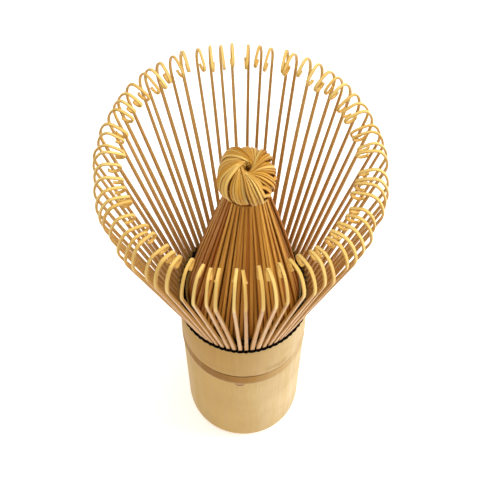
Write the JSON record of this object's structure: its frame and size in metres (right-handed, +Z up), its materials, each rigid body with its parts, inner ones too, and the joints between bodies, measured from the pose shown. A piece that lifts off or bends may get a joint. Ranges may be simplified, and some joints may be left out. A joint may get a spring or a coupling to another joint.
{
  "type": "bamboo tea whisk",
  "caption": "Bamboo tea whisk: culm handle, ring of hooked springy outer tines held open by a black lacing thread, and a cone of inner tines coiled into a knob.",
  "frame": {"origin": "centre of the foot, on the surface that the whisk stands on", "axes": "+Z up the culm to the tine tips, -Y towards the front, +X to the right"},
  "size_m": [0.0496, 0.0496, 0.1105],
  "materials": {
    "culm_bamboo": "satin natural bamboo skin",
    "outer_tine_bamboo": "satin split bamboo",
    "inner_tine_bamboo": "satin split bamboo, darker",
    "knob_bamboo": "satin split bamboo",
    "black_thread": "matte twisted cotton"
  },
  "bodies": {
    "handle": {"handle": "culm_bamboo", "lacing_thread": "black_thread"},
    "inner_bundle": {"inner_tines_01": "inner_tine_bamboo", "inner_tines_02": "inner_tine_bamboo", "inner_tines_03": "inner_tine_bamboo", "inner_tines_04": "inner_tine_bamboo", "inner_tines_05": "inner_tine_bamboo", "inner_tines_06": "inner_tine_bamboo", "inner_tines_07": "inner_tine_bamboo", "inner_tines_08": "inner_tine_bamboo", "inner_tines_09": "inner_tine_bamboo", "inner_tines_10": "inner_tine_bamboo", "inner_tines_11": "inner_tine_bamboo", "inner_tines_12": "inner_tine_bamboo", "inner_tines_13": "inner_tine_bamboo", "inner_tines_14": "inner_tine_bamboo", "inner_tines_15": "inner_tine_bamboo", "inner_tines_16": "inner_tine_bamboo", "inner_tines_17": "inner_tine_bamboo"},
    "knob": {"knob": "knob_bamboo"},
    "outer_tines_01": {"outer_tines_01": "outer_tine_bamboo"},
    "outer_tines_02": {"outer_tines_02": "outer_tine_bamboo"},
    "outer_tines_03": {"outer_tines_03": "outer_tine_bamboo"},
    "outer_tines_04": {"outer_tines_04": "outer_tine_bamboo"},
    "outer_tines_05": {"outer_tines_05": "outer_tine_bamboo"},
    "outer_tines_06": {"outer_tines_06": "outer_tine_bamboo"},
    "outer_tines_07": {"outer_tines_07": "outer_tine_bamboo"},
    "outer_tines_08": {"outer_tines_08": "outer_tine_bamboo"},
    "outer_tines_09": {"outer_tines_09": "outer_tine_bamboo"},
    "outer_tines_10": {"outer_tines_10": "outer_tine_bamboo"},
    "outer_tines_11": {"outer_tines_11": "outer_tine_bamboo"},
    "outer_tines_12": {"outer_tines_12": "outer_tine_bamboo"},
    "outer_tines_13": {"outer_tines_13": "outer_tine_bamboo"},
    "outer_tines_14": {"outer_tines_14": "outer_tine_bamboo"},
    "outer_tines_15": {"outer_tines_15": "outer_tine_bamboo"},
    "outer_tines_16": {"outer_tines_16": "outer_tine_bamboo"},
    "outer_tines_17": {"outer_tines_17": "outer_tine_bamboo"},
    "outer_tines_18": {"outer_tines_18": "outer_tine_bamboo"},
    "outer_tines_19": {"outer_tines_19": "outer_tine_bamboo"},
    "outer_tines_20": {"outer_tines_20": "outer_tine_bamboo"},
    "outer_tines_21": {"outer_tines_21": "outer_tine_bamboo"},
    "outer_tines_22": {"outer_tines_22": "outer_tine_bamboo"},
    "outer_tines_23": {"outer_tines_23": "outer_tine_bamboo"},
    "outer_tines_24": {"outer_tines_24": "outer_tine_bamboo"},
    "outer_tines_25": {"outer_tines_25": "outer_tine_bamboo"},
    "outer_tines_26": {"outer_tines_26": "outer_tine_bamboo"},
    "outer_tines_27": {"outer_tines_27": "outer_tine_bamboo"},
    "outer_tines_28": {"outer_tines_28": "outer_tine_bamboo"},
    "outer_tines_29": {"outer_tines_29": "outer_tine_bamboo"},
    "outer_tines_30": {"outer_tines_30": "outer_tine_bamboo"},
    "outer_tines_31": {"outer_tines_31": "outer_tine_bamboo"},
    "outer_tines_32": {"outer_tines_32": "outer_tine_bamboo"},
    "outer_tines_33": {"outer_tines_33": "outer_tine_bamboo"},
    "outer_tines_34": {"outer_tines_34": "outer_tine_bamboo"}
  },
  "joints": [
    {"name": "bundle_sway", "type": "hinge", "parent": "handle", "child": "inner_bundle", "pos_m": [0, 0, 0.0549], "axis": [1, 0, 0], "range_deg": [-3, 3], "stiffness_Nm_per_rad": 0.1},
    {"name": "knob_nod", "type": "hinge", "parent": "inner_bundle", "child": "knob", "pos_m": [0.00067, 0, 0.0997], "axis": [0, 1, 0], "range_deg": [-6, 6], "stiffness_Nm_per_rad": 0.002},
    {"name": "outer_spring_01", "type": "hinge", "parent": "handle", "child": "outer_tines_01", "pos_m": [0.0121, 0.00112, 0.05532], "axis": [-0.0923, 0.9957, 0], "range_deg": [-4, 8], "stiffness_Nm_per_rad": 0.012},
    {"name": "outer_spring_02", "type": "hinge", "parent": "handle", "child": "outer_tines_02", "pos_m": [0.01169, 0.00333, 0.05532], "axis": [-0.2737, 0.9618, 0], "range_deg": [-4, 8], "stiffness_Nm_per_rad": 0.012},
    {"name": "outer_spring_03", "type": "hinge", "parent": "handle", "child": "outer_tines_03", "pos_m": [0.01088, 0.00542, 0.05532], "axis": [-0.4457, 0.8952, 0], "range_deg": [-4, 8], "stiffness_Nm_per_rad": 0.012},
    {"name": "outer_spring_04", "type": "hinge", "parent": "handle", "child": "outer_tines_04", "pos_m": [0.0097, 0.00732, 0.05532], "axis": [-0.6026, 0.798, 0], "range_deg": [-4, 8], "stiffness_Nm_per_rad": 0.012},
    {"name": "outer_spring_05", "type": "hinge", "parent": "handle", "child": "outer_tines_05", "pos_m": [0.00819, 0.00898, 0.05532], "axis": [-0.739, 0.6737, 0], "range_deg": [-4, 8], "stiffness_Nm_per_rad": 0.012},
    {"name": "outer_spring_06", "type": "hinge", "parent": "handle", "child": "outer_tines_06", "pos_m": [0.0064, 0.01033, 0.05532], "axis": [-0.8502, 0.5264, 0], "range_deg": [-4, 8], "stiffness_Nm_per_rad": 0.012},
    {"name": "outer_spring_07", "type": "hinge", "parent": "handle", "child": "outer_tines_07", "pos_m": [0.00439, 0.01133, 0.05532], "axis": [-0.9325, 0.3612, 0], "range_deg": [-4, 8], "stiffness_Nm_per_rad": 0.012},
    {"name": "outer_spring_08", "type": "hinge", "parent": "handle", "child": "outer_tines_08", "pos_m": [0.00223, 0.01195, 0.05532], "axis": [-0.983, 0.1838, 0], "range_deg": [-4, 8], "stiffness_Nm_per_rad": 0.012},
    {"name": "outer_spring_09", "type": "hinge", "parent": "handle", "child": "outer_tines_09", "pos_m": [0, 0.01215, 0.05532], "axis": [-1, 0, 0], "range_deg": [-4, 8], "stiffness_Nm_per_rad": 0.012},
    {"name": "outer_spring_10", "type": "hinge", "parent": "handle", "child": "outer_tines_10", "pos_m": [-0.00223, 0.01195, 0.05532], "axis": [-0.983, -0.1838, 0], "range_deg": [-4, 8], "stiffness_Nm_per_rad": 0.012},
    {"name": "outer_spring_11", "type": "hinge", "parent": "handle", "child": "outer_tines_11", "pos_m": [-0.00439, 0.01133, 0.05532], "axis": [-0.9325, -0.3612, 0], "range_deg": [-4, 8], "stiffness_Nm_per_rad": 0.012},
    {"name": "outer_spring_12", "type": "hinge", "parent": "handle", "child": "outer_tines_12", "pos_m": [-0.0064, 0.01033, 0.05532], "axis": [-0.8502, -0.5264, 0], "range_deg": [-4, 8], "stiffness_Nm_per_rad": 0.012},
    {"name": "outer_spring_13", "type": "hinge", "parent": "handle", "child": "outer_tines_13", "pos_m": [-0.00819, 0.00898, 0.05532], "axis": [-0.739, -0.6737, 0], "range_deg": [-4, 8], "stiffness_Nm_per_rad": 0.012},
    {"name": "outer_spring_14", "type": "hinge", "parent": "handle", "child": "outer_tines_14", "pos_m": [-0.0097, 0.00732, 0.05532], "axis": [-0.6026, -0.798, 0], "range_deg": [-4, 8], "stiffness_Nm_per_rad": 0.012},
    {"name": "outer_spring_15", "type": "hinge", "parent": "handle", "child": "outer_tines_15", "pos_m": [-0.01088, 0.00542, 0.05532], "axis": [-0.4457, -0.8952, 0], "range_deg": [-4, 8], "stiffness_Nm_per_rad": 0.012},
    {"name": "outer_spring_16", "type": "hinge", "parent": "handle", "child": "outer_tines_16", "pos_m": [-0.01169, 0.00333, 0.05532], "axis": [-0.2737, -0.9618, 0], "range_deg": [-4, 8], "stiffness_Nm_per_rad": 0.012},
    {"name": "outer_spring_17", "type": "hinge", "parent": "handle", "child": "outer_tines_17", "pos_m": [-0.0121, 0.00112, 0.05532], "axis": [-0.0923, -0.9957, 0], "range_deg": [-4, 8], "stiffness_Nm_per_rad": 0.012},
    {"name": "outer_spring_18", "type": "hinge", "parent": "handle", "child": "outer_tines_18", "pos_m": [-0.0121, -0.00112, 0.05532], "axis": [0.0923, -0.9957, 0], "range_deg": [-4, 8], "stiffness_Nm_per_rad": 0.012},
    {"name": "outer_spring_19", "type": "hinge", "parent": "handle", "child": "outer_tines_19", "pos_m": [-0.01169, -0.00333, 0.05532], "axis": [0.2737, -0.9618, 0], "range_deg": [-4, 8], "stiffness_Nm_per_rad": 0.012},
    {"name": "outer_spring_20", "type": "hinge", "parent": "handle", "child": "outer_tines_20", "pos_m": [-0.01088, -0.00542, 0.05532], "axis": [0.4457, -0.8952, 0], "range_deg": [-4, 8], "stiffness_Nm_per_rad": 0.012},
    {"name": "outer_spring_21", "type": "hinge", "parent": "handle", "child": "outer_tines_21", "pos_m": [-0.0097, -0.00732, 0.05532], "axis": [0.6026, -0.798, 0], "range_deg": [-4, 8], "stiffness_Nm_per_rad": 0.012},
    {"name": "outer_spring_22", "type": "hinge", "parent": "handle", "child": "outer_tines_22", "pos_m": [-0.00819, -0.00898, 0.05532], "axis": [0.739, -0.6737, 0], "range_deg": [-4, 8], "stiffness_Nm_per_rad": 0.012},
    {"name": "outer_spring_23", "type": "hinge", "parent": "handle", "child": "outer_tines_23", "pos_m": [-0.0064, -0.01033, 0.05532], "axis": [0.8502, -0.5264, 0], "range_deg": [-4, 8], "stiffness_Nm_per_rad": 0.012},
    {"name": "outer_spring_24", "type": "hinge", "parent": "handle", "child": "outer_tines_24", "pos_m": [-0.00439, -0.01133, 0.05532], "axis": [0.9325, -0.3612, 0], "range_deg": [-4, 8], "stiffness_Nm_per_rad": 0.012},
    {"name": "outer_spring_25", "type": "hinge", "parent": "handle", "child": "outer_tines_25", "pos_m": [-0.00223, -0.01195, 0.05532], "axis": [0.983, -0.1838, 0], "range_deg": [-4, 8], "stiffness_Nm_per_rad": 0.012},
    {"name": "outer_spring_26", "type": "hinge", "parent": "handle", "child": "outer_tines_26", "pos_m": [0, -0.01215, 0.05532], "axis": [1, 0, 0], "range_deg": [-4, 8], "stiffness_Nm_per_rad": 0.012},
    {"name": "outer_spring_27", "type": "hinge", "parent": "handle", "child": "outer_tines_27", "pos_m": [0.00223, -0.01195, 0.05532], "axis": [0.983, 0.1838, 0], "range_deg": [-4, 8], "stiffness_Nm_per_rad": 0.012},
    {"name": "outer_spring_28", "type": "hinge", "parent": "handle", "child": "outer_tines_28", "pos_m": [0.00439, -0.01133, 0.05532], "axis": [0.9325, 0.3612, 0], "range_deg": [-4, 8], "stiffness_Nm_per_rad": 0.012},
    {"name": "outer_spring_29", "type": "hinge", "parent": "handle", "child": "outer_tines_29", "pos_m": [0.0064, -0.01033, 0.05532], "axis": [0.8502, 0.5264, 0], "range_deg": [-4, 8], "stiffness_Nm_per_rad": 0.012},
    {"name": "outer_spring_30", "type": "hinge", "parent": "handle", "child": "outer_tines_30", "pos_m": [0.00819, -0.00898, 0.05532], "axis": [0.739, 0.6737, 0], "range_deg": [-4, 8], "stiffness_Nm_per_rad": 0.012},
    {"name": "outer_spring_31", "type": "hinge", "parent": "handle", "child": "outer_tines_31", "pos_m": [0.0097, -0.00732, 0.05532], "axis": [0.6026, 0.798, 0], "range_deg": [-4, 8], "stiffness_Nm_per_rad": 0.012},
    {"name": "outer_spring_32", "type": "hinge", "parent": "handle", "child": "outer_tines_32", "pos_m": [0.01088, -0.00542, 0.05532], "axis": [0.4457, 0.8952, 0], "range_deg": [-4, 8], "stiffness_Nm_per_rad": 0.012},
    {"name": "outer_spring_33", "type": "hinge", "parent": "handle", "child": "outer_tines_33", "pos_m": [0.01169, -0.00333, 0.05532], "axis": [0.2737, 0.9618, 0], "range_deg": [-4, 8], "stiffness_Nm_per_rad": 0.012},
    {"name": "outer_spring_34", "type": "hinge", "parent": "handle", "child": "outer_tines_34", "pos_m": [0.0121, -0.00112, 0.05532], "axis": [0.0923, 0.9957, 0], "range_deg": [-4, 8], "stiffness_Nm_per_rad": 0.012}
  ]
}
